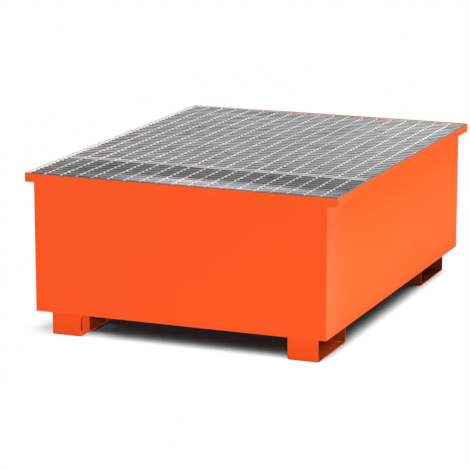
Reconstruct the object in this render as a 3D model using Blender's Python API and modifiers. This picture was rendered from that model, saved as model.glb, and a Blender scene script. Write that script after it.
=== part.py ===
"""Spill containment pallet: a deep welded sheet-steel sump on four folded feet, with two loose gratings.

Metres, +Z up. The front faces -Y, +X is to the right, and the origin is on the ground under the middle.
"""
import math

import bmesh
import bpy
from mathutils import Matrix, Vector

# Overall sizes
WIDTH = 1.280
DEPTH = 1.680
TUB_HEIGHT = 0.548
FOOT_HEIGHT = 0.100

# Sheet metal
SHEET = 0.003
FOLD_RADIUS = 0.003
FOLD_SEGMENTS = 3
RIM_LEDGE = 0.039
RIM_HEIGHT = 0.0362

# Folded feet
FOOT_WIDTH = 0.1235
FOOT_LENGTH = 0.308
FOOT_INSET_X = 0.047
FOOT_INSET_Y = 0.046
FLAP_LENGTH = 0.066
FLAP_RELIEF = 0.004

# Gratings
BAR_HEIGHT = 0.030
BAR_THICKNESS = 0.003
BAR_PITCH = 0.0345
BAND_RISE = 0.0015
CROSS_BAR_HEIGHT = 0.012
CROSS_BAR_THICKNESS = 0.002
CROSS_BAR_DROP = 0.0005
# The solids carry about every second cross bar
CROSS_BAR_PITCH = 0.1265
SIDE_CLEARANCE = 0.003
END_CLEARANCE = 0.006
PANEL_JOINT = 0.004
FRONT_PANEL_LENGTH = 0.351

# Beam under the gratings
BEAM_WIDTH = 0.060
BEAM_HEIGHT = 0.050
BRACKET_WIDTH = 0.080
BRACKET_LEG = 0.060
LEG_CLEARANCE = 0.007
LEG_SPACING = 0.560
PAD_SIZE = 0.100
PAD_THICKNESS = 0.005

# Welds and fits
WELD_LEG = 0.006
WELD_ARC_STEPS = 4
FIT_GAP = 0.0003
MERGE_DISTANCE = 0.00001

# Levels and faces that several pieces share
RIM_TOP = FOOT_HEIGHT + TUB_HEIGHT
LEDGE_TOP = RIM_TOP - RIM_HEIGHT + SHEET
FLOOR_TOP = FOOT_HEIGHT + SHEET
WALL_OUTER_X = WIDTH / 2 - RIM_LEDGE
WALL_INNER_X = WALL_OUTER_X - SHEET
PLATE_INNER_Y = DEPTH / 2 - SHEET
INSIDE_LENGTH = 2 * (PLATE_INNER_Y - FIT_GAP)
PANEL_WIDTH = WIDTH - 2 * (SHEET + SIDE_CLEARANCE)
PANEL_BOTTOM = LEDGE_TOP + FIT_GAP
FRONT_PANEL_START = -PLATE_INNER_Y + END_CLEARANCE
REAR_PANEL_START = FRONT_PANEL_START + FRONT_PANEL_LENGTH + PANEL_JOINT
REAR_PANEL_END = PLATE_INNER_Y - END_CLEARANCE
BEAM_BOTTOM = LEDGE_TOP - BEAM_HEIGHT
LEG_SIZE = BEAM_WIDTH - 2 * (SHEET + LEG_CLEARANCE)

# Finishes: base colour, roughness, metallic
ORANGE_PAINT = ((0.93, 0.105, 0.02, 1.0), 0.38, 0.0)
ZINC = ((0.55, 0.56, 0.57, 1.0), 0.45, 0.9)

ALONG_X = Matrix.Rotation(math.pi / 2, 4, "Z") @ Matrix.Rotation(math.pi / 2, 4, "X")
ALONG_Y = Matrix.Rotation(math.pi / 2, 4, "X")
ALONG_Z = Matrix.Identity(4)


def clear_scene():
    for obj in list(bpy.data.objects):
        bpy.data.objects.remove(obj, do_unlink=True)


def new_collection(name):
    collection = bpy.data.collections.new(name)
    bpy.context.scene.collection.children.link(collection)
    return collection


def finish(obj, look):
    colour, roughness, metallic = look
    material = bpy.data.materials.new(obj.name + "_finish")
    material.use_nodes = True
    shader = material.node_tree.nodes["Principled BSDF"]
    shader.inputs["Base Color"].default_value = colour
    shader.inputs["Roughness"].default_value = roughness
    shader.inputs["Metallic"].default_value = metallic
    obj.data.materials.append(material)


def add_object(name, data, place, look, parent=None):
    obj = bpy.data.objects.new(name, data)
    parts.objects.link(obj)
    obj.matrix_world = place
    if parent:
        obj.parent = parent
    finish(obj, look)
    return obj


def box_mesh(name, size):
    mesh = bpy.data.meshes.new(name)
    bm = bmesh.new()
    bmesh.ops.create_cube(bm, size=1.0, matrix=Matrix.Diagonal((*size, 1.0)))
    bm.to_mesh(mesh)
    bm.free()
    return mesh


def box(name, size, centre, look, parent=None):
    return add_object(name, box_mesh(name, size), Matrix.Translation(centre), look, parent)


def prism(name, outlines, length, place, look):
    """A flat outline, with any inner outlines as holes, drawn in local XY and extruded along local Z."""
    curve = bpy.data.curves.new(name, "CURVE")
    curve.dimensions = "2D"
    curve.fill_mode = "BOTH"
    curve.extrude = length / 2
    for outline in outlines:
        spline = curve.splines.new("POLY")
        spline.points.add(len(outline) - 1)
        for point, (x, y) in zip(spline.points, outline):
            point.co = (x, y, 0.0, 1.0)
        spline.use_cyclic_u = True
    obj = add_object(name, curve, place, look)
    weld = obj.modifiers.new("join_caps", "WELD")
    weld.merge_threshold = MERGE_DISTANCE
    return obj


def folded_sheet(name, fold_line, length, place, look):
    """A sheet whose middle surface follows fold_line in local XY and runs along local Z, with round bends."""
    mesh = bpy.data.meshes.new(name)
    bm = bmesh.new()
    verts = [bm.verts.new((x, y, -length / 2)) for x, y in fold_line]
    edges = [bm.edges.new(pair) for pair in zip(verts, verts[1:])]
    swept = bmesh.ops.extrude_edge_only(bm, edges=edges)["geom"]
    swept_verts = [item for item in swept if isinstance(item, bmesh.types.BMVert)]
    bmesh.ops.translate(bm, verts=swept_verts, vec=(0.0, 0.0, length))
    bm.to_mesh(mesh)
    bm.free()
    obj = add_object(name, mesh, place, look)
    bend = obj.modifiers.new("bends", "BEVEL")
    bend.width = FOLD_RADIUS + SHEET / 2
    bend.segments = FOLD_SEGMENTS
    bend.limit_method = "ANGLE"
    thicken = obj.modifiers.new("thickness", "SOLIDIFY")
    thicken.thickness = SHEET
    thicken.offset = 0.0
    thicken.use_even_offset = True
    return obj


def rectangle(width, height):
    x = width / 2
    y = height / 2
    return [(-x, -y), (x, -y), (x, y), (-x, y)]


def fillet_outline():
    """Section of a weld bead in the corner between -X and -Y faces, bulging towards the open side."""
    points = [(0.0, 0.0)]
    for step in range(WELD_ARC_STEPS + 1):
        angle = math.pi / 2 * step / WELD_ARC_STEPS
        points.append((WELD_LEG * math.cos(angle), WELD_LEG * math.sin(angle)))
    return points


def join_to(obj, other):
    union = obj.modifiers.new("joined_" + other.name, "BOOLEAN")
    union.operation = "UNION"
    union.object = other


def cutter(name, mesh, place):
    obj = bpy.data.objects.new(name, mesh)
    cutters.objects.link(obj)
    obj.matrix_world = place
    obj.hide_render = True
    obj.display_type = "WIRE"
    return obj


def repeat(obj, count, step):
    array = obj.modifiers.new("repeat", "ARRAY")
    array.count = count
    array.use_relative_offset = False
    array.use_constant_offset = True
    array.constant_offset_displace = step


# Sump tub

def make_floor():
    size = (2 * (WALL_INNER_X - FIT_GAP), INSIDE_LENGTH, SHEET)
    box("sump_floor", size, (0.0, 0.0, FOOT_HEIGHT + SHEET / 2), ORANGE_PAINT)


def make_side_walls():
    """Each side wall folds out into a ledge for the grating, then up into a rim."""
    wall_x = WALL_OUTER_X - SHEET / 2
    rim_x = WIDTH / 2 - SHEET / 2
    ledge_z = LEDGE_TOP - SHEET / 2
    for name, side in (("left_wall", -1), ("right_wall", 1)):
        fold_line = [(side * wall_x, FOOT_HEIGHT), (side * wall_x, ledge_z),
                     (side * rim_x, ledge_z), (side * rim_x, RIM_TOP)]
        folded_sheet(name, fold_line, INSIDE_LENGTH, ALONG_Y, ORANGE_PAINT)


def make_end_plates():
    """Flat end plates, flush from foot level to rim, with ears that close the ends of the side rims."""
    ear_z = RIM_TOP - RIM_HEIGHT
    outline = [(-WALL_OUTER_X, FOOT_HEIGHT), (WALL_OUTER_X, FOOT_HEIGHT), (WALL_OUTER_X, ear_z),
               (WIDTH / 2, ear_z), (WIDTH / 2, RIM_TOP), (-WIDTH / 2, RIM_TOP),
               (-WIDTH / 2, ear_z), (-WALL_OUTER_X, ear_z)]
    for name, side in (("front_plate", -1), ("rear_plate", 1)):
        middle = Matrix.Translation((0.0, side * (DEPTH / 2 - SHEET / 2), 0.0))
        prism(name, [outline], SHEET, middle @ ALONG_Y, ORANGE_PAINT)


def make_corner_welds():
    seat_x = WALL_INNER_X - FIT_GAP
    seat_y = PLATE_INNER_Y - FIT_GAP
    low = FLOOR_TOP + FIT_GAP + WELD_LEG + FIT_GAP
    high = LEDGE_TOP - SHEET - FOLD_RADIUS
    corners = (("front_left", -1, -1, 0), ("front_right", 1, -1, 1),
               ("rear_right", 1, 1, 2), ("rear_left", -1, 1, 3))
    for name, side_x, side_y, quarter_turns in corners:
        turn = Matrix.Rotation(quarter_turns * math.pi / 2, 4, "Z")
        place = Matrix.Translation((side_x * seat_x, side_y * seat_y, (low + high) / 2)) @ turn
        prism("corner_weld_" + name, [fillet_outline()], high - low, place, ORANGE_PAINT)


def make_floor_welds():
    seat_z = FLOOR_TOP + FIT_GAP
    seat_x = WALL_INNER_X - FIT_GAP
    seat_y = PLATE_INNER_Y - FIT_GAP
    corner = WELD_LEG + FIT_GAP
    along_side = 2 * (seat_y - corner)
    along_end = 2 * (seat_x - corner)
    half_turn = Matrix.Rotation(math.pi, 4, "Z")
    for name, turn, side in (("left", ALONG_Z, -1), ("right", half_turn, 1)):
        place = Matrix.Translation((side * seat_x, 0.0, seat_z)) @ turn @ ALONG_Y
        prism("floor_weld_" + name, [fillet_outline()], along_side, place, ORANGE_PAINT)
    for name, turn, side in (("front", ALONG_Z, -1), ("rear", half_turn, 1)):
        place = Matrix.Translation((0.0, side * seat_y, seat_z)) @ turn @ ALONG_X
        prism("floor_weld_" + name, [fillet_outline()], along_end, place, ORANGE_PAINT)


# Feet

def make_feet():
    """Each foot is a folded channel, open to its outer side, with two flaps standing up on its inner side."""
    top = FOOT_HEIGHT - FIT_GAP
    base_z = SHEET / 2
    end_y = FOOT_LENGTH / 2 - SHEET / 2
    fold_line = [(-end_y, top), (-end_y, base_z), (end_y, base_z), (end_y, top)]
    flap_start = SHEET + FLAP_RELIEF
    flap_size = (SHEET, FLAP_LENGTH, top - base_z)
    for end, side_y in (("front", -1), ("rear", 1)):
        for hand, side_x in (("left", -1), ("right", 1)):
            name = end + "_" + hand + "_foot"
            x = side_x * (WALL_OUTER_X - FOOT_INSET_X - FOOT_WIDTH / 2)
            y = side_y * (DEPTH / 2 - FOOT_INSET_Y - FOOT_LENGTH / 2)
            centre = Matrix.Translation((x, y, 0.0))
            foot = folded_sheet(name, fold_line, FOOT_WIDTH, centre @ ALONG_X, ORANGE_PAINT)
            flap_x = x - side_x * (FOOT_WIDTH / 2 - SHEET / 2)
            for flap_end in (-1, 1):
                flap_y = y + flap_end * (FOOT_LENGTH / 2 - flap_start - FLAP_LENGTH / 2)
                flap_name = name + ("_front_flap" if flap_end < 0 else "_rear_flap")
                place = Matrix.Translation((flap_x, flap_y, (top + base_z) / 2))
                join_to(foot, cutter(flap_name, box_mesh(flap_name, flap_size), place))


# Beam that carries the middle of the gratings

def make_support_beam():
    side_x = BEAM_WIDTH / 2 - SHEET / 2
    web_z = LEDGE_TOP - SHEET / 2
    fold_line = [(-side_x, BEAM_BOTTOM), (-side_x, web_z), (side_x, web_z), (side_x, BEAM_BOTTOM)]
    folded_sheet("support_beam", fold_line, INSIDE_LENGTH, ALONG_Y, ORANGE_PAINT)


def make_beam_brackets():
    seat_z = BEAM_BOTTOM - FIT_GAP - SHEET / 2
    back_y = PLATE_INNER_Y - FIT_GAP - SHEET / 2
    for name, side in (("beam_bracket_front", -1), ("beam_bracket_rear", 1)):
        fold_line = [(side * (back_y - BRACKET_LEG), seat_z), (side * back_y, seat_z),
                     (side * back_y, seat_z - BRACKET_LEG)]
        folded_sheet(name, fold_line, BRACKET_WIDTH, ALONG_X, ORANGE_PAINT)


def make_beam_legs():
    """Square tubes stand on pads on the sump floor and reach the underside of the beam's web."""
    pad_bottom = FLOOR_TOP + FIT_GAP
    leg_bottom = pad_bottom + PAD_THICKNESS + FIT_GAP
    leg_top = LEDGE_TOP - SHEET - FIT_GAP
    section = [rectangle(LEG_SIZE, LEG_SIZE), rectangle(LEG_SIZE - 2 * SHEET, LEG_SIZE - 2 * SHEET)]
    for end, side in (("front", -1), ("rear", 1)):
        y = side * LEG_SPACING / 2
        pad_size = (PAD_SIZE, PAD_SIZE, PAD_THICKNESS)
        box("leg_pad_" + end, pad_size, (0.0, y, pad_bottom + PAD_THICKNESS / 2), ORANGE_PAINT)
        place = Matrix.Translation((0.0, y, (leg_bottom + leg_top) / 2))
        prism("beam_leg_" + end, section, leg_top - leg_bottom, place, ORANGE_PAINT)


# Gratings

def make_grating(name, start, end):
    """Bearing bars run across the tub, cross bars tie them, and a slightly taller band closes the bar ends."""
    lift = bpy.data.objects.new(name + "_lift", None)
    parts.objects.link(lift)
    lift.location = (0.0, (start + end) / 2, PANEL_BOTTOM)
    bpy.context.view_layer.update()
    to_lift = lift.matrix_world.inverted()

    middle_z = BAR_HEIGHT / 2
    band_height = BAR_HEIGHT + BAND_RISE
    length = end - start
    band_x = PANEL_WIDTH / 2 - BAR_THICKNESS / 2
    bar_length = PANEL_WIDTH - 2 * (BAR_THICKNESS + FIT_GAP)
    bar_gaps = max(1, round((length - BAR_THICKNESS) / BAR_PITCH))
    bar_step = (length - BAR_THICKNESS) / bar_gaps
    cross_gaps = max(2, round(2 * band_x / CROSS_BAR_PITCH))
    cross_step = 2 * band_x / cross_gaps

    first_bar = Vector((0.0, start + BAR_THICKNESS / 2, PANEL_BOTTOM + middle_z))
    bars = box(name + "_bars", (bar_length, BAR_THICKNESS, BAR_HEIGHT), to_lift @ first_bar, ZINC, lift)
    bars.matrix_parent_inverse = Matrix.Identity(4)
    repeat(bars, bar_gaps + 1, (0.0, bar_step, 0.0))

    cross_top = PANEL_BOTTOM + BAR_HEIGHT - CROSS_BAR_DROP
    cross_size = (CROSS_BAR_THICKNESS, length - BAR_THICKNESS, CROSS_BAR_HEIGHT)
    first_cross = (-band_x + cross_step, (start + end) / 2, cross_top - CROSS_BAR_HEIGHT / 2)
    cross_name = name + "_cross_bars"
    cross_bars = cutter(cross_name, box_mesh(cross_name, cross_size), Matrix.Translation(first_cross))
    repeat(cross_bars, cross_gaps - 1, (cross_step, 0.0, 0.0))
    join_to(bars, cross_bars)

    for hand, side in (("left", -1), ("right", 1)):
        centre = Vector((side * band_x, (start + end) / 2, PANEL_BOTTOM + band_height / 2))
        band_name = name + "_" + hand + "_band"
        band = box(band_name, (BAR_THICKNESS, length, band_height), to_lift @ centre, ZINC, lift)
        band.matrix_parent_inverse = Matrix.Identity(4)


clear_scene()
parts = new_collection("spill_containment_pallet")
cutters = new_collection("cutters")

make_floor()
make_side_walls()
make_end_plates()
make_corner_welds()
make_floor_welds()
make_feet()
make_support_beam()
make_beam_brackets()
make_beam_legs()
make_grating("front_grating", FRONT_PANEL_START, FRONT_PANEL_START + FRONT_PANEL_LENGTH)
make_grating("rear_grating", REAR_PANEL_START, REAR_PANEL_END)
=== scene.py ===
"""Looks of the spill containment pallet: powder-coated sump and feet, hot-dip galvanised gratings.

Metres, +Z up, front towards -Y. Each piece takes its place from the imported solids.
"""
import math
import random

import bmesh
import bpy
from mathutils import Matrix, Vector


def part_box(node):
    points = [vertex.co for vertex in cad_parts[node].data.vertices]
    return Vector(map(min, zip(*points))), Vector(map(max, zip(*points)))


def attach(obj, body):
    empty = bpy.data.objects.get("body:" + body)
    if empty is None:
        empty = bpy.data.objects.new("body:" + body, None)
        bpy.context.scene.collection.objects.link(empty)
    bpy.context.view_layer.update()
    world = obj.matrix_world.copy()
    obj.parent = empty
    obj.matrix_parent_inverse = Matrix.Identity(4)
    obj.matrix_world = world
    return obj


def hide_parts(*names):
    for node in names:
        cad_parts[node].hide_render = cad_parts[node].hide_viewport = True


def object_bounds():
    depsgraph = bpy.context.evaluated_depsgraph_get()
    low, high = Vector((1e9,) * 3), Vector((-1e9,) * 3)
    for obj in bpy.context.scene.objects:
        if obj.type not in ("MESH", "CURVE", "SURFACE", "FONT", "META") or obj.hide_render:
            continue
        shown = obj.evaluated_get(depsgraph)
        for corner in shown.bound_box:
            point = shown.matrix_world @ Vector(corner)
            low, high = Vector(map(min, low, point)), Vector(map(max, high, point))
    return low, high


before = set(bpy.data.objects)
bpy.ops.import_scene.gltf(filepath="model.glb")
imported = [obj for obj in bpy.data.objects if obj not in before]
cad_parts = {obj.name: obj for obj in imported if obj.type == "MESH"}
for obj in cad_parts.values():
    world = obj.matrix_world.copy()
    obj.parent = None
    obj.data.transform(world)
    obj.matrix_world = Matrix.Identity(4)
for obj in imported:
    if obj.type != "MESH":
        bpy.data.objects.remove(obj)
cad_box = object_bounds()

# Sheet metal
PLATE_LOW, PLATE_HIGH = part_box("front_plate")
SHEET = PLATE_HIGH.y - PLATE_LOW.y
RIM_TOP = PLATE_HIGH.z
RIM_HEIGHT = 0.0362
BEND_RADIUS = 0.0045
BEND_STEPS = 6
BEND_ANGLE = math.radians(40.0)
ROUNDED_EDGE = 0.0004
ROUNDED_EDGE_STEPS = 2
CUT_ANGLE = math.radians(50.0)
ARC_STEPS = 5
PLATE_CORNER = 0.0006
EAR_CORNER = 0.0025
EAR_NOTCH = 0.0015
SUMP_FLOOR_GRID = (12, 16)
LEG_CORNER = 0.004
PAD_CORNER = 0.006

# Feet
FLAP_LENGTH = 0.066
FLAP_RELIEF = 0.007
RELIEF_DEPTH = 0.009
FLAP_CORNER = 0.004
CLOSED_CORNER = 0.022
FOOT_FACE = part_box("front_right_foot")[0].y
FOOT_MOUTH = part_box("front_right_foot")[1].x
FOOT_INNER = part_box("front_left_foot")[1].x

# Gratings
BEARING_PITCH = 0.0345
BEARING_THICKNESS = 0.003
BEARING_SINK = 0.0003
BEARING_LEAN = 0.0003
CROSS_PITCH = 0.0666
CROSS_THICKNESS = 0.002
CROSS_HEIGHT = 0.012
CROSS_DROP = 0.0005
CROSS_SINK = 0.0003
CROSS_WANDER = 0.0006
BAR_ROUNDING = 0.0004
BAND_ROUNDING = 0.0006
BAND_ROUNDING_STEPS = 2
BAR_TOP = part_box("rear_grating_bars")[1].z
JOINT_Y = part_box("rear_grating_bars")[0].y
# How many first bars of the rear panel carry a painted highlight
HIGHLIT_END_BARS = 2

# Weld beads; depth, flatness, width and the first number of a wave are shares of the bead's leg
BEAD_RIPPLE_PITCH = 0.006
BEAD_RIPPLE_DEPTH = 0.13
BEAD_RIPPLE_BOW = 0.0022
BEAD_RINGS_PER_RIPPLE = 4
BEAD_LEAST_RINGS = 8
BEAD_ARC_STEPS = 5
BEAD_FLATNESS = 0.45
BEAD_WIDTH = 0.93
BEAD_WAVES = ((0.04, 41.0, 1.0), (0.03, 17.3, 2.0))
BEAD_DRIFT = 6.0
BEAD_END = 0.006
BEAD_STUB = 0.0012
FOOT_BEAD_LEG = 0.004
FOOT_BEAD_INSET = 0.012

# Paint
ORANGE = (0.93, 0.096, 0.018, 1.0)
FEET_ORANGE = (0.92, 0.088, 0.0135, 1.0)
WELD_ORANGE = (0.90, 0.080, 0.013, 1.0)
# Pale orange of rubbed edges, and the painted highlight along the rim fold
RUB_AND_HIGHLIGHT_ORANGE = (0.95, 0.22, 0.07, 1.0)
# Painted shade that deepens the orange on the upper wall
UPPER_SHADE_PAINT = (0.94, 0.097, 0.0115, 1.0)
# Painted highlight beside the front corner seam
SEAM_HIGHLIGHT_PAINT = (0.96, 0.120, 0.038, 1.0)
SPECK_PAINT = (0.30, 0.045, 0.012, 1.0)
# Painted highlight on the sole at a right foot's mouth
SOLE_HIGHLIGHT_PAINT = (0.98, 0.170, 0.030, 1.0)
# Painted shade inside the feet
POCKET_SHADE_PAINT = (0.11, 0.020, 0.004, 1.0)
# Painted shade on what lies far under the sump
SHELTER_SHADE_PAINT = (0.050, 0.014, 0.004, 1.0)
SCUFFED_PAINT = (0.17, 0.125, 0.090, 1.0)
RIM_PRIMER = (0.50, 0.49, 0.48, 1.0)
RUBBED_RIM = (0.38, 0.150, 0.050, 1.0)

# Zinc
FRONT_BAR_ZINC = (0.118, 0.130, 0.134, 1.0)
REAR_BAR_ZINC = (0.148, 0.167, 0.171, 1.0)
# Painted highlight on the first bars of the rear panel
END_BAR_HIGHLIGHT_ZINC = (0.34, 0.36, 0.367, 1.0)
# Painted highlight behind the front edge of the front panel
PATCH_HIGHLIGHT_ZINC = (0.64, 0.70, 0.715, 1.0)
# Painted highlight on the cross bars
CROSS_BAR_HIGHLIGHT_ZINC = (0.82, 0.845, 0.855, 1.0)
# Painted highlight on the left bands
LEFT_BAND_HIGHLIGHT_ZINC = (0.88, 0.89, 0.90, 1.0)
# Painted shade on the right bands
RIGHT_BAND_SHADE_ZINC = (0.085, 0.088, 0.089, 1.0)
# Bar tops worn bright, with a painted highlight
TOP_WEAR_AND_HIGHLIGHT_ZINC = (0.86, 0.885, 0.895, 1.0)
# Painted highlight on the tops of the rear panel's first bars
END_BAR_TOP_HIGHLIGHT_ZINC = (0.90, 0.92, 0.93, 1.0)

# Scales of a place that draw streaks out along X or Y
ALONG_X = (0.08, 1.0, 0.3)
ALONG_Y = (1.0, 0.08, 0.3)

# Studio floor
SHADE_REACH = 1.36
SHADE_SAMPLES = 32
SHADE_TILT = (-0.203, -0.064, 0.977)
SHADE_OPENNESS = (0.11, 0.345)
DEEP_SHADE = (0.0150, 0.0115, 0.0098, 1.0)
CONTACT_REACH = 0.16
CONTACT_SAMPLES = 16
CONTACT_OPENNESS = (0.68, 0.95)
CONTACT_DEPTH = 0.42
CONTACT_SIDE = (cad_box[0].x + 0.09, cad_box[0].x + 0.16)
CONTACT_START = (FOOT_FACE - 0.04, FOOT_FACE + 0.08)
GLEAM_LEVELS = (0.62, 0.10)
GLEAM_FADE = (FOOT_INNER + 0.02, FOOT_INNER + 0.16)
GLEAM_START = (FOOT_INNER - 0.03, FOOT_INNER)
GLEAM_BACK = (FOOT_FACE + 0.11, FOOT_FACE + 0.03)
FLOOR_HALF_SIZE = 20.0
FLOOR_FADE = (0.50, 0.60)
FLOOR_BOUNCE = (0.25, 0.25, 0.25, 1.0)

# Sky and camera
WHITE = (1.0, 1.0, 1.0, 1.0)
SKY_LEVEL = 0.08
CAMERA_PLACE = (3.3811, -8.6220, 2.3901)
CAMERA_TILT = math.radians(90.0 - 12.852)
CAMERA_TURN = math.radians(22.005)
CAMERA_LENS = 176.33
CAMERA_SENSOR = 36.0
CAMERA_REACH = 100.0

SEED = 41
rng = random.Random(SEED)


# Shader nodes

FLOAT, COLOUR, VECTOR = "NodeSocketFloat", "NodeSocketColor", "NodeSocketVector"
RISING = (0.0, 1.0)
FALLING = (1.0, 0.0)
SWINGING = (-1.0, 1.0)


def new_group(name, inputs, outputs):
    tree = bpy.data.node_groups.new(name, "ShaderNodeTree")
    for label, kind, value in inputs:
        socket = tree.interface.new_socket(label, in_out="INPUT", socket_type=kind)
        socket.default_value = value
    for label, kind in outputs:
        tree.interface.new_socket(label, in_out="OUTPUT", socket_type=kind)
    return tree, tree.nodes.new("NodeGroupInput").outputs, tree.nodes.new("NodeGroupOutput").inputs


def new_mask_group(name, outputs=("Mask",), **inputs):
    """A group that takes and puts out plain numbers."""
    return new_group(name, [(label, FLOAT, value) for label, value in inputs.items()],
                     [(label, FLOAT) for label in outputs])


def put_out(tree, put, **values):
    for label, value in values.items():
        tree.links.new(value, put[label])
    return tree


def node(tree, kind, settings=None, **inputs):
    """A node with its settings; an input is a number, a colour or another node's output.

    An input goes by its name, with _ for a space, or by its number, such as i0.
    """
    made = tree.nodes.new("ShaderNode" + kind)
    for key, value in (settings or {}).items():
        setattr(made, key, value)
    for key, value in inputs.items():
        numbered = key[0] == "i" and key[1:].isdigit()
        socket = made.inputs[int(key[1:]) if numbered else key.replace("_", " ")]
        if isinstance(value, bpy.types.NodeSocket):
            tree.links.new(value, socket)
        else:
            socket.default_value = value
    return made


def math_node(tree, operation, first, second=0.0, clamp=False):
    return node(tree, "Math", {"operation": operation, "use_clamp": clamp}, i0=first, i1=second).outputs[0]


def multiply(tree, product, *factors):
    for factor in factors:
        product = math_node(tree, "MULTIPLY", product, factor)
    return product


def larger(tree, first, second):
    return math_node(tree, "MAXIMUM", first, second)


def add(tree, first, second):
    return math_node(tree, "ADD", first, second)


def inverse(tree, mask):
    return math_node(tree, "SUBTRACT", 1.0, mask)


def vector_node(tree, operation, first, second=(0.0, 0.0, 0.0)):
    made = node(tree, "VectorMath", {"operation": operation}, i0=first, i1=second)
    return made.outputs["Value" if operation in ("DOT_PRODUCT", "LENGTH") else "Vector"]


def scale_colour(tree, colour, gain):
    return node(tree, "VectorMath", {"operation": "SCALE"}, i0=colour, Scale=gain).outputs["Vector"]


def spread(tree, value, between, to=RISING, smooth=False):
    """Maps value from one range to another, held at the ends."""
    kind = "SMOOTHSTEP" if smooth else "LINEAR"
    made = node(tree, "MapRange", {"interpolation_type": kind}, Value=value, From_Min=between[0],
                From_Max=between[1], To_Min=to[0], To_Max=to[1])
    return made.outputs["Result"]


def blend_colours(tree, share, first, second):
    return node(tree, "Mix", {"data_type": "RGBA"}, i0=share, i6=first, i7=second).outputs[2]


def noise(tree, place, scale, detail=2.0, roughness=0.5):
    made = node(tree, "TexNoise", None, Vector=place, Scale=scale, Detail=detail, Roughness=roughness)
    return made.outputs[0]


def cells(tree, place, scale):
    return node(tree, "TexVoronoi", {"feature": "F1"}, Vector=place, Scale=scale).outputs


def openness(tree, reach, samples, **settings):
    """1 in the open, less where other faces stand within reach."""
    made = node(tree, "AmbientOcclusion", {"samples": samples, **settings}, Distance=reach)
    return made.outputs["AO"]


def place_on_piece(tree):
    return node(tree, "TexCoord").outputs["Object"]


def face_normal(tree):
    return node(tree, "NewGeometry").outputs["Normal"]


def axes(tree, vector):
    return node(tree, "SeparateXYZ", None, Vector=vector).outputs


# Shader groups of the paint
# A grain is the scale, detail and roughness of a noise; other pairs are ranges for spread.

RUB_SAMPLES = 4
RUB_SLOPES = (0.99, 0.80)
RUB_GRAIN = (26.0, 4.0, 0.62)
RUB_PATCHES = (0.42, 0.66)


def make_edge_rub_group():
    """Mask of edges, broken up as by handling: 1 on a rubbed edge, 0 on open faces."""
    tree, given, put = new_mask_group("edge_rub", Reach=0.002, Amount=0.5)
    rounded = node(tree, "Bevel", {"samples": RUB_SAMPLES}, Radius=given["Reach"]).outputs[0]
    edge = spread(tree, vector_node(tree, "DOT_PRODUCT", rounded, face_normal(tree)), RUB_SLOPES)
    patches = spread(tree, noise(tree, place_on_piece(tree), *RUB_GRAIN), RUB_PATCHES)
    worn = multiply(tree, edge, patches)
    return put_out(tree, put, Mask=math_node(tree, "MULTIPLY", worn, given["Amount"], clamp=True))


MOUTH_EDGE = (FOOT_MOUTH - 0.006, FOOT_MOUTH - 0.002)
MOUTH_EDGE_TURN = (0.3, 0.7)


def off_mouth_edge(tree):
    """0 on the cut edge round a foot's mouth, which the painted shade leaves out, and 1 elsewhere."""
    place = axes(tree, place_on_piece(tree))["X"]
    facing = axes(tree, face_normal(tree))["X"]
    outward = multiply(tree, facing, math_node(tree, "SIGN", place))
    turned = spread(tree, outward, MOUTH_EDGE_TURN)
    edge = spread(tree, math_node(tree, "ABSOLUTE", place), MOUTH_EDGE)
    return inverse(tree, multiply(tree, turned, edge))


AROUND_SAMPLES = 8
POCKET_OPENNESS = (0.62, 0.97)
TURNED_AWAY = (-0.5, -0.9)
TURNED_UP = (0.5, 0.9)
# How much painted shade lies on faces that look forward, inward or up
SHADED_FORWARD, SHADED_INWARD, SHADED_UPWARD = 0.92, 0.85, 0.75
BEHIND_FACE = (FOOT_FACE + 0.01, FOOT_FACE + 0.04)
FAR_BEHIND_FACE = (FOOT_FACE + 0.12, FOOT_FACE + 0.16)
SOLE_MOUTH = (FOOT_MOUTH - 0.095, FOOT_MOUTH - 0.012)


def make_pocket_shade_group():
    """Mask of painted shade in a foot, and mask of the sole at a right foot's mouth for a painted highlight.

    The painted shade lies deep inside the foot, and on faces that look forward under the sump, inward
    further back, or up.
    """
    tree, given, put = new_mask_group("pocket_shade", ("Mask", "Sole"), Reach=0.1, Amount=1.0)
    place = axes(tree, place_on_piece(tree))
    facing = axes(tree, face_normal(tree))
    around = openness(tree, given["Reach"], AROUND_SAMPLES, only_local=True)
    dark = spread(tree, around, POCKET_OPENNESS, FALLING, smooth=True)
    forward = spread(tree, facing["Y"], TURNED_AWAY, (0.0, SHADED_FORWARD))
    forward = multiply(tree, forward, spread(tree, place["Y"], BEHIND_FACE))
    inward = multiply(tree, facing["X"], math_node(tree, "SIGN", place["X"]))
    inward = spread(tree, inward, TURNED_AWAY, (0.0, SHADED_INWARD))
    inward = multiply(tree, inward, spread(tree, place["Y"], FAR_BEHIND_FACE))
    upward = spread(tree, facing["Z"], TURNED_UP, (0.0, SHADED_UPWARD))
    for turned in (forward, inward, upward):
        dark = larger(tree, dark, turned)
    sole = spread(tree, place["X"], SOLE_MOUTH, smooth=True)
    sole = multiply(tree, sole, spread(tree, facing["Z"], TURNED_UP))
    dark = multiply(tree, dark, inverse(tree, sole), off_mouth_edge(tree), given["Amount"])
    return put_out(tree, put, Mask=dark, Sole=sole)


SHELTER_OPENNESS = (0.30, 0.55)


def make_shelter_shade_group():
    """Mask of painted shade on faces far under the sump: 1 deep under the sump, 0 in the open."""
    tree, given, put = new_mask_group("shelter_shade", Reach=0.3, Amount=1.0)
    around = openness(tree, given["Reach"], AROUND_SAMPLES)
    deep = spread(tree, around, SHELTER_OPENNESS, FALLING, smooth=True)
    return put_out(tree, put, Mask=multiply(tree, deep, off_mouth_edge(tree), given["Amount"]))


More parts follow.
